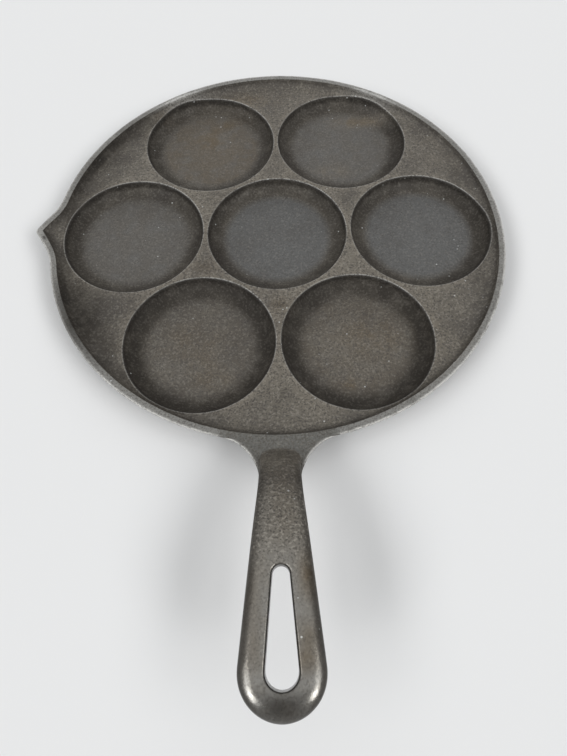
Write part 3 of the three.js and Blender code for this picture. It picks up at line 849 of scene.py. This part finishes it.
def handle_rows():
    """Reaches of the rows, closer together at the slot's ends, its rounding and the tip."""
    quarter = np.linspace(0, math.pi / 2, SLOT_END_ROWS + 1)
    turn = math.asin(SLOT_OUTER_RADIUS / GRIP_RADIUS)
    mouth = 2 * SLOT_EDGE_ROUND
    ends = turn + (math.pi / 2 - turn) * np.linspace(0, 1, TIP_ROWS + 1) ** TIP_CROWDING
    rows = [
        np.linspace(-RIM_EDGE_ROUND, 0, ROOT_ROWS + 1)[:-1],
        HANDLE_FOOT_REACH * np.linspace(0, 1, FOOT_ROWS + 1) ** FOOT_CROWDING,
        np.linspace(HANDLE_FOOT_REACH, SLOT_START - mouth, CLIMB_ROWS + 1)[1:],
        SLOT_START - mouth * np.linspace(1, 0, MOUTH_ROWS + 1)[1:] ** MOUTH_CROWDING,
        SLOT_INNER_REACH - SLOT_INNER_RADIUS * np.cos(quarter)[1:],
        np.linspace(SLOT_INNER_REACH, GRIP_REACH, SLOT_ROWS + 1)[1:],
        GRIP_REACH + SLOT_OUTER_RADIUS * np.sin(quarter)[1:],
        GRIP_REACH + GRIP_RADIUS * np.sin(ends)[1:-1],
    ]
    return np.concatenate(rows)


def gusset_sheets(reach, x):
    """Heights of the gusset's edge, of its flat top and of its underside."""
    middle, _, belly = handle_lines(reach)
    root_edge = RIM_TOP - quarter_round(np.clip(-reach, 0, None), RIM_EDGE_ROUND)
    edge = root_edge + (middle - root_edge) * smoothstep(*EDGE_CLIMB, reach)
    from_edge = edge_distance(reach, x)
    round_up = RIM_TOP - root_edge
    top = edge + round_up - quarter_round(from_edge, RIM_EDGE_ROUND) * round_up / RIM_EDGE_ROUND
    floor = np.maximum(RIM_TOP - GUSSET_THICKNESS, belly)
    under = np.maximum(edge - from_edge * WALL_HEIGHT / RIM_UNDERCUT, floor)
    return edge, top, np.minimum(under, edge)


def bar_sheets(reach, x):
    """Heights of the bar's top and underside, far out of the way beside the bar."""
    middle, crown, belly = handle_lines(reach)
    width = handle_half_width(reach)
    share = np.clip(np.abs(x) / np.maximum(width, TINY), 0, 1)
    squareness = smoothstep(HANDLE_FOOT_REACH, HANDLE_KNEE_REACH, reach)
    power = ROOT_CROWN + (SECTION_CROWN - ROOT_CROWN) * squareness
    top = middle + (crown - middle) * (1 - share**power) ** (1 / power)
    under = middle + (belly - middle) * (1 - share**SECTION_BELLY) ** (1 / SECTION_BELLY)
    beside = np.abs(x) > width
    return np.where(beside, -FAR_OFF, top), np.where(beside, FAR_OFF, under)


def handle_sheets(reach, x):
    """Heights of the top and the underside, and how far the gusset's flat top stands over the bar."""
    edge, flat_top, flat_under = gusset_sheets(reach, x)
    bar_top, bar_under = bar_sheets(reach, x)
    fillet = SHOULDER_FILLET * (1 - smoothstep(*EDGE_CLIMB, reach)) + LEAST_FILLET
    top = np.maximum(soft_max(flat_top, bar_top, fillet), edge)
    under = np.minimum(-soft_max(-flat_under, -bar_under, fillet), edge)
    on_edge = edge_distance(reach, x) < NO_LENGTH
    fall = quarter_round(slot_distance(reach, x), SLOT_EDGE_ROUND)
    top = np.where(on_edge, edge, top) - fall
    under = np.where(on_edge, edge, under) + fall
    return top, under, flat_top - bar_top


def handle_marks(reach, x, lead):
    """Masks on top: the gusset's rubbed edge and band, painted shade on the slot's rounded edge, and soot
    with painted shade along the bar's sides.
    """
    rim_like = 1 - smoothstep(HANDLE_FOOT_REACH, EDGE_CLIMB[1], reach)
    from_edge = edge_distance(reach, x)
    in_slot = SLOT_SHADE * bump_at(slot_distance(reach, x), *SLOT_SHADE_BAND)
    on_bar = BAR_SOOT_AND_SHADE * (1 - smoothstep(*BAR_SOOT_AND_SHADE_INSET, from_edge)) * (1 - rim_like)
    wear_and_highlight = bump_at(from_edge, *GUSSET_WEAR_BAND) * rim_like
    return {
        "wear_and_highlight": wear_and_highlight * (reach > 0),
        "band": smoothstep(-GUSSET_BLEND, GUSSET_BLEND, lead) * rim_like,
        "grime_and_shade": np.maximum(in_slot, on_bar),
    }


def handle_grid():
    """Reaches and places across of the points, row by row from edge to edge, and the rows with the slot."""
    rows = handle_rows()
    is_open = (rows > SLOT_START) & (rows < SLOT_END)
    high = np.where(is_open, SLOT_OUTER_RADIUS, 0)
    inner = halve(high, lambda x: slot_distance(rows, x) < 0)
    spread = (1 - np.cos(np.linspace(0, math.pi, COLUMNS + 1))) / 2
    half = inner[:, None] + (half_outline(rows) - inner)[:, None] * spread
    x = np.hstack([-half[:, ::-1], half])
    return np.repeat(rows[:, None], x.shape[1], 1), x, is_open


def handle_tables(is_open):
    """Indices of both sheets' points, which share the edges, and the middle where the slot isn't."""
    shape = (len(is_open), 2 * COLUMNS + 2)
    top = np.arange(math.prod(shape)).reshape(shape)
    under = top + top.size
    under[:, [0, -1]] = top[:, [0, -1]]
    for table in (top, under):
        table[~is_open, COLUMNS + 1] = table[~is_open, COLUMNS]
    used, packed = np.unique([top, under], return_inverse=True)
    return used, *packed.reshape(2, *shape)


def quads_between(first, second):
    """Quads between two tables of indices, whose rows run on from one to the next."""
    return np.stack([first[:-1], first[1:], second[1:], second[:-1]], -1)


def handle_faces(top, under, is_open):
    """Both sheets, each half from the middle to the edge, and the slot's sides."""
    faces = []
    for table in (top, under):
        for half in (table[:, COLUMNS::-1], table[:, COLUMNS + 1 :]):
            faces += quads_between(half[:, :-1], half[:, 1:]).reshape(-1, 4).tolist()
    opening = is_open[:-1] | is_open[1:]
    for middle in (COLUMNS, COLUMNS + 1):
        faces += quads_between(top[:, middle], under[:, middle])[opening].tolist()
    return faces


def row_loop(top, under, row):
    """Indices once round a row without the slot."""
    right, left = under[row, -2 : COLUMNS + 1 : -1], under[row, COLUMNS:0:-1]
    return np.concatenate([top[row, :COLUMNS], top[row, COLUMNS + 1 :], right, left])


def buried_root(places):
    """A row's places run back into the rim, narrower and thinner, with the middle that closes them."""
    depth = LIP_HEIGHT - PLATE_THICKNESS / 2
    buried = np.full_like(places, -BURIED_DEPTH)
    buried[:, 0] = places[:, 0] * BURIED_WIDTH
    buried[:, 2] = depth + (places[:, 2] - RIM_TOP) * BURIED_THICKNESS
    return np.concatenate([buried, [[0, -BURIED_DEPTH, depth]]])


def add_handle(node):
    reach, x, is_open = handle_grid()
    used, top, under = handle_tables(is_open)
    top_height, under_height, lead = handle_sheets(reach, x)
    marks = handle_marks(reach, x, lead)
    sheets = [np.stack([x, reach, height], -1).reshape(-1, 3) for height in (top_height, under_height)]
    places = np.concatenate(sheets)[used]
    root, end = row_loop(top, under, 0), row_loop(top, under, -1)
    tip = len(places)
    buried = tip + 1 + np.arange(len(root))
    tip_place = [0, TIP_REACH, handle_lines(TIP_REACH)[0]]
    places = np.concatenate([places, [tip_place], buried_root(places[root])])
    faces = handle_faces(top, under, is_open) + fan_faces(end, tip)
    faces += ring_faces(root, buried) + fan_faces(buried, len(places) - 1)
    across, reaches, heights = places.T
    points = np.column_stack([across, row_y(reaches, across), heights])
    masks = {"grip": smoothstep(HANDLE_FOOT_REACH, GRIP_REACH, reaches)}
    for name, mark in marks.items():
        below = mark if name == "grime_and_shade" else np.zeros_like(mark)
        values = np.concatenate([mark.ravel(), below.ravel()])[used]
        masks[name] = np.pad(values, (0, len(places) - len(values)))
    masks["rust"] = spots_at(points, RUST_SPOTS)
    masks["grime_and_shade"] = np.maximum(masks["grime_and_shade"], spots_at(points, DIRT_AND_REFLECTION_SPOTS))
    add_piece(node, points, faces, masks)


# Seasoned iron.

IRON_DARK = (0.050, 0.042, 0.034, 1)
IRON_LIGHT = (0.123, 0.107, 0.085, 1)
HOLLOW_TINT = (0.030, 0.025, 0.021, 1)
PEAK_TINT = (0.099, 0.091, 0.079, 1)
# Painted glints on the grain.
GLINT_SPECK_TINT = (0.600, 0.600, 0.580, 1)
NOISES = {  # size in mm, detail, roughness
    "clouds": (26, 5, 0.6),
    "patches": (7, 4, 0.6),
    "grain": (1.2, 1, 0.5),
    "sand": (0.8, 1, 0.5),
    "clusters": (30, 2, 0.6),
}
PIT_SIZE = 1.6
GLINT_SPECK_SPACING = 6
GLINT_SPECK_EDGE = (0.08, 0.04)
BARE_START = (0.02, 0.3)  # along the handle
GLOSS_START = (0.35, 0.8)
CLOUD_RANGE = (0.3, 0.7)
LAYERS = [  # mask, the noise that breaks it up, the noise's range, the layer's share at its ends, tint
    ("floor", "clouds", (0.25, 0.6), (0.5, 0.85), (0.081, 0.081, 0.081, 1)),
    ("pale", "patches", (0.3, 0.6), (0.25, 0.8), (0.154, 0.133, 0.106, 1)),
    ("bare", "patches", (0.3, 0.65), (0.45, 0.95), (0.168, 0.153, 0.131, 1)),
    ("gloss", "patches", (0.3, 0.65), (0.45, 0.95), (0.180, 0.174, 0.163, 1)),
    ("rust", "patches", (0.3, 0.6), (0.54, 0.9), (0.087, 0.062, 0.034, 1)),
    ("band", "sand", (0.3, 0.6), (0.35, 1.0), (0.095, 0.091, 0.082, 1)),
    # Soot, with painted shade in the creases, under the lips and along the bar's sides
    ("grime_and_shade", "patches", (0.25, 0.6), (0.68, 1.0), (0.022, 0.019, 0.016, 1)),
    # Rubbed metal, with painted highlights in the rim's hollow and on the cups' lips
    ("wear_and_highlight", "patches", (0.25, 0.55), (0.4, 1.0), (0.504, 0.486, 0.459, 1)),
]
SMOOTHNESS = {"gloss": 0.6, "floor": 0.45, "band": 0.4}
HOLLOW_RANGE = (0.32, 0.52, 0.75, 0)
PEAK_RANGE = (0.5, 0.7, 0, 0.6)
PEAKS_UNDER_GRIME_AND_SHADE = 0.7
CLUSTER_RANGE = (0.46, 0.58, 0, 0.6)
ROUGHNESS_RANGE = (0.3, 0.7, 0.44, 0.56)
GRIME_AND_SHADE_ROUGHNESS = 0.12
GLOSS_ROUGHNESS = -0.32
WEAR_AND_HIGHLIGHT_ROUGHNESS = -0.12
SPECULAR_RANGE = (0.0, 1.0, 0.4, 0.1)  # less under soot and painted shade
METALLIC = 0.1
GLOSS_METALLIC = 0.8
GRAIN_BUMP = 0.6
SAND_BUMP = 0.4
PIT_RANGE = (0.0, 0.25, 0.0, 0.12)
GLOSS_CALM = 0.93
FINE_BUMP = 0.8
FINE_HEIGHT = 0.7
COARSE_BUMP = 0.3
COARSE_HEIGHT = 0.6


class Nodes:
    """Short forms for building a material's node tree."""

    def __init__(self, material):
        self.tree = material.node_tree
        self.place = self.add("ShaderNodeTexCoord").outputs["Object"]

    def add(self, kind, **inputs):
        node = self.tree.nodes.new(kind)
        for name, value in inputs.items():
            self.set(node, name, value)
        return node

    def set(self, node, name, value):
        socket = node.inputs[name]
        if isinstance(value, bpy.types.NodeSocket):
            self.tree.links.new(value, socket)
        else:
            socket.default_value = value

    def mask(self, name):
        node = self.add("ShaderNodeAttribute")
        node.attribute_name = name
        return node.outputs["Fac"]

    def noise(self, size, detail, roughness):
        """Cloudy noise whose patches are about the given size in millimetres."""
        node = self.add("ShaderNodeTexNoise", Vector=self.place, Detail=detail, Roughness=roughness)
        self.set(node, "Scale", 1 / (size * MM))
        return node.outputs["Fac"]

    def cells(self, size):
        node = self.add("ShaderNodeTexVoronoi", Vector=self.place, Scale=1 / (size * MM))
        return node.outputs["Distance"]

    def span(self, value, low, high, first=0.0, last=1.0):
        """A smooth step over a range of the value, from the first result to the last."""
        node = self.add("ShaderNodeMapRange")
        node.interpolation_type = "SMOOTHSTEP"
        for k, number in enumerate((value, low, high, first, last)):
            self.set(node, k, number)
        return node.outputs["Result"]

    def math(self, operation, a, b):
        node = self.add("ShaderNodeMath")
        node.operation = operation
        self.set(node, 0, a)
        self.set(node, 1, b)
        return node.outputs["Value"]

    def times(self, a, b):
        return self.math("MULTIPLY", a, b)

    def plus(self, a, b):
        return self.math("ADD", a, b)

    def without(self, a, share=1.0):
        """One less a share of the value."""
        return self.math("SUBTRACT", 1.0, self.times(a, share))

    def mix(self, factor, a, b, mode="MIX"):
        node = self.add("ShaderNodeMix")
        node.data_type = "RGBA"
        node.blend_type = mode
        for socket, value in ((0, factor), (6, a), (7, b)):
            self.set(node, socket, value)
        return node.outputs[2]

    def bump(self, height, strength, depth, normal=None):
        node = self.add("ShaderNodeBump", Distance=depth * MM, Height=height, Strength=strength)
        if normal:
            self.set(node, "Normal", normal)
        return node.outputs["Normal"]


def iron_colour(n, masks, noises, shares):
    """Clouded iron under its layers, with dark hollows, painted light on the grain's peaks and a few bright
    specks of painted glint.
    """
    colour = n.mix(n.span(noises["clouds"], *CLOUD_RANGE), IRON_DARK, IRON_LIGHT)
    for name, _, _, _, tint in LAYERS:
        colour = n.mix(shares[name], colour, tint)
    smooth = 0.0
    for name, share in SMOOTHNESS.items():
        smooth = n.plus(smooth, n.times(masks[name], share))
    coarse_cast = n.without(smooth)
    hollows = n.times(n.span(noises["sand"], *HOLLOW_RANGE), coarse_cast)
    colour = n.mix(hollows, colour, HOLLOW_TINT)
    clean = n.times(n.without(masks["grime_and_shade"], PEAKS_UNDER_GRIME_AND_SHADE), coarse_cast)
    coarse_bar = n.times(masks["bare"], n.without(masks["gloss"]))
    peaks = n.times(n.span(noises["grain"], *PEAK_RANGE), n.plus(clean, coarse_bar))
    colour = n.mix(peaks, colour, PEAK_TINT, "ADD")
    near_glint_speck = n.span(n.cells(GLINT_SPECK_SPACING), *GLINT_SPECK_EDGE)
    glint_specks = n.times(near_glint_speck, n.span(noises["clusters"], *CLUSTER_RANGE))
    return n.mix(glint_specks, colour, GLINT_SPECK_TINT)


def iron_roughness(n, masks, noises, shares):
    rough = n.span(noises["patches"], *ROUGHNESS_RANGE)
    rough = n.plus(rough, n.times(masks["grime_and_shade"], GRIME_AND_SHADE_ROUGHNESS))
    rough = n.plus(rough, n.times(masks["gloss"], GLOSS_ROUGHNESS))
    return n.plus(rough, n.times(shares["wear_and_highlight"], WEAR_AND_HIGHLIGHT_ROUGHNESS))


def iron_normal(n, masks, noises):
    """Sand-cast grain over a coarser unevenness, both nearly gone on the polished grip."""
    calm = n.without(masks["gloss"], GLOSS_CALM)
    tops = n.plus(n.times(noises["grain"], GRAIN_BUMP), n.times(noises["sand"], SAND_BUMP))
    tops = n.plus(tops, n.span(n.cells(PIT_SIZE), *PIT_RANGE))
    fine = n.bump(tops, n.times(calm, FINE_BUMP), FINE_HEIGHT)
    return n.bump(noises["patches"], n.times(calm, COARSE_BUMP), COARSE_HEIGHT, fine)


def seasoned_iron():
    material = bpy.data.materials.new(SLOT)
    material.use_nodes = True
    n = Nodes(material)
    masks = {name: n.mask(name) for name in MASKS}
    masks["bare"] = n.span(masks["grip"], *BARE_START)
    masks["gloss"] = n.span(masks["grip"], *GLOSS_START)
    noises = {name: n.noise(*values) for name, values in NOISES.items()}
    shares = {}
    for name, noise, limits, ends, _ in LAYERS:
        shares[name] = n.times(masks[name], n.span(noises[noise], *limits, *ends))
    shader = n.tree.nodes["Principled BSDF"]
    n.set(shader, "Base Color", iron_colour(n, masks, noises, shares))
    n.set(shader, "Roughness", iron_roughness(n, masks, noises, shares))
    n.set(shader, "Normal", iron_normal(n, masks, noises))
    n.set(shader, "Metallic", n.plus(n.times(masks["gloss"], GLOSS_METALLIC), METALLIC))
    n.set(shader, "Specular IOR Level", n.span(shares["grime_and_shade"], *SPECULAR_RANGE))
    return material


# Studio.

CAMERA_PLACE = (3.22, -188.45, 233.60)  # fitted to the cups and the rim in the photograph, in mm
CAMERA_ELEVATION = math.radians(65.388)
CAMERA_AZIMUTH = math.radians(0.669)
CAMERA_ROLL = math.radians(1.784)
CAMERA_CLIP_START = 0.01
FOCAL_PIXELS = 530.56
IMAGE_HEIGHT = 756
FLOOR_COLOUR = (0.81, 0.795, 0.785, 1)
FLOOR_ROUGHNESS = 0.9
FLOOR_HALF = 40.0
BACKDROP_COLOUR = (0.800, 0.810, 0.813, 1)
SKY_COLOUR = (0.93, 0.97, 1.0, 1)
SKY_STRENGTH = 0.16
LAMP_COLOUR = (0.96, 0.985, 1.0)
LAMP_ANGLE = math.radians(20)
LAMP_ASIDE = 1.05
LAMP_ROW = [(0.95, 0.7), (0.7, 0.35), (0.4, 0.25), (0.05, 0.25)]  # how far forward, and strength
CEILING_WAY = (0.0, 0.4, 1.0)
CEILING_STRENGTH = 0.9
CEILING_ANGLE = math.radians(100)


def add_camera():
    data = bpy.data.cameras.new("camera")
    data.lens = FOCAL_PIXELS / IMAGE_HEIGHT * data.sensor_width
    data.clip_start = CAMERA_CLIP_START
    camera = bpy.data.objects.new("camera", data)
    bpy.context.collection.objects.link(camera)
    flat = math.cos(CAMERA_ELEVATION)
    heading = (math.sin(CAMERA_AZIMUTH) * flat, -math.cos(CAMERA_AZIMUTH) * flat)
    back = Vector((*heading, math.sin(CAMERA_ELEVATION)))
    right = (-back).cross(Vector((0, 0, 1))).normalized()
    up = back.cross(right)
    turned_right = math.cos(CAMERA_ROLL) * right - math.sin(CAMERA_ROLL) * up
    turned_up = back.cross(turned_right)
    turn = Matrix((turned_right, turned_up, back)).transposed().to_4x4()
    camera.matrix_world = Matrix.Translation(Vector(CAMERA_PLACE) * MM) @ turn
    bpy.context.scene.camera = camera


def add_lamp(name, way, strength, angle):
    data = bpy.data.lights.new(name, "SUN")
    data.angle = angle
    data.energy = strength
    data.color = LAMP_COLOUR
    lamp = bpy.data.objects.new(name, data)
    bpy.context.collection.objects.link(lamp)
    lamp.rotation_euler = Vector(way).to_track_quat("Z", "Y").to_euler()


def add_lamps():
    """A wide soft ceiling light, and a row of lamps on each side."""
    add_lamp("ceiling", CEILING_WAY, CEILING_STRENGTH, CEILING_ANGLE)
    for side, name in ((1, "right"), (-1, "left")):
        for k, (forward, strength) in enumerate(LAMP_ROW):
            add_lamp(f"{name}_lamp_{k}", (LAMP_ASIDE * side, -forward, 1.0), strength, LAMP_ANGLE)


def add_floor():
    mesh = bpy.data.meshes.new("floor")
    corners = [(x * FLOOR_HALF, y * FLOOR_HALF, 0) for x, y in ((-1, -1), (1, -1), (1, 1), (-1, 1))]
    mesh.from_pydata(corners, [], [(0, 1, 2, 3)])
    floor = bpy.data.objects.new("floor", mesh)
    bpy.context.collection.objects.link(floor)
    material = bpy.data.materials.new("pale_floor")
    material.use_nodes = True
    shader = material.node_tree.nodes["Principled BSDF"]
    shader.inputs["Base Color"].default_value = FLOOR_COLOUR
    shader.inputs["Roughness"].default_value = FLOOR_ROUGHNESS
    shader.inputs["Specular IOR Level"].default_value = 0.0
    mesh.materials.append(material)


def add_sky():
    """Dim light all round, and a brighter backdrop for what the camera and reflections see."""
    world = bpy.data.worlds.new("studio")
    world.use_nodes = True
    tree = world.node_tree
    light = tree.nodes["Background"]
    light.inputs["Color"].default_value = SKY_COLOUR
    light.inputs["Strength"].default_value = SKY_STRENGTH
    seen = tree.nodes.new("ShaderNodeBackground")
    seen.inputs["Color"].default_value = BACKDROP_COLOUR
    choice = tree.nodes.new("ShaderNodeMixShader")
    path = tree.nodes.new("ShaderNodeLightPath")
    shown = path.outputs["Is Camera Ray"]
    for ray in ("Is Glossy Ray", "Is Transmission Ray"):
        either = tree.nodes.new("ShaderNodeMath")
        either.operation = "MAXIMUM"
        tree.links.new(shown, either.inputs[0])
        tree.links.new(path.outputs[ray], either.inputs[1])
        shown = either.outputs[0]
    tree.links.new(shown, choice.inputs[0])
    tree.links.new(light.outputs[0], choice.inputs[1])
    tree.links.new(seen.outputs[0], choice.inputs[2])
    tree.links.new(choice.outputs[0], tree.nodes["World Output"].inputs["Surface"])
    bpy.context.scene.world = world


iron = seasoned_iron()
cup_centres = {name: node_centre(name) for name in sorted(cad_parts) if name.startswith("cup_")}
for cup, cup_centre in cup_centres.items():
    add_cup(cup, cup_centre)
add_plate("web_plate", list(cup_centres.values()))
add_border("rim_wall", rim_angles(), RIM_COVE_STEPS)
add_border("pour_spout", beak_angles(), BEAK_COVE_STEPS)
add_handle("handle")

add_camera()
add_floor()
add_sky()
add_lamps()
bpy.context.scene.view_settings.view_transform = "Standard"
